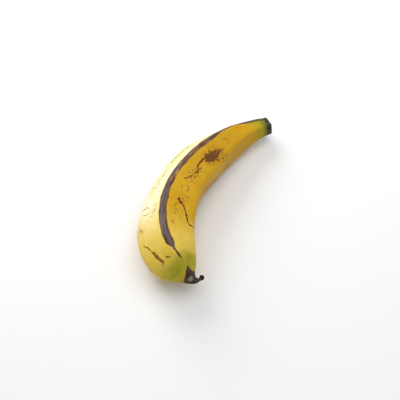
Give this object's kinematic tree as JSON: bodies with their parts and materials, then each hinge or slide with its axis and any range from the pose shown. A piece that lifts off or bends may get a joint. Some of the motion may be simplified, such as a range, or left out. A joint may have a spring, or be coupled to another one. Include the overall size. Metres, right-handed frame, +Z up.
{
  "type": "plantain",
  "caption": "Whole ripe plantain lying on its side: a curved, five-ridged fruit tapering to a cut stem at one end and a curled, dried flower remnant at the other.",
  "frame": {"origin": "on the resting plane, below the middle of the fruit's box", "axes": "+Y along the fruit from its flower end to its cut stem, +Z up from the surface it lies on, -X towards the outer, convex side of its bend"},
  "size_m": [0.0804, 0.2036, 0.0486],
  "materials": {
    "peel": "waxy satin, mottled yellow with brown ridges and spots"
  },
  "bodies": {
    "root": {"plantain": "peel"}
  },
  "joints": []
}
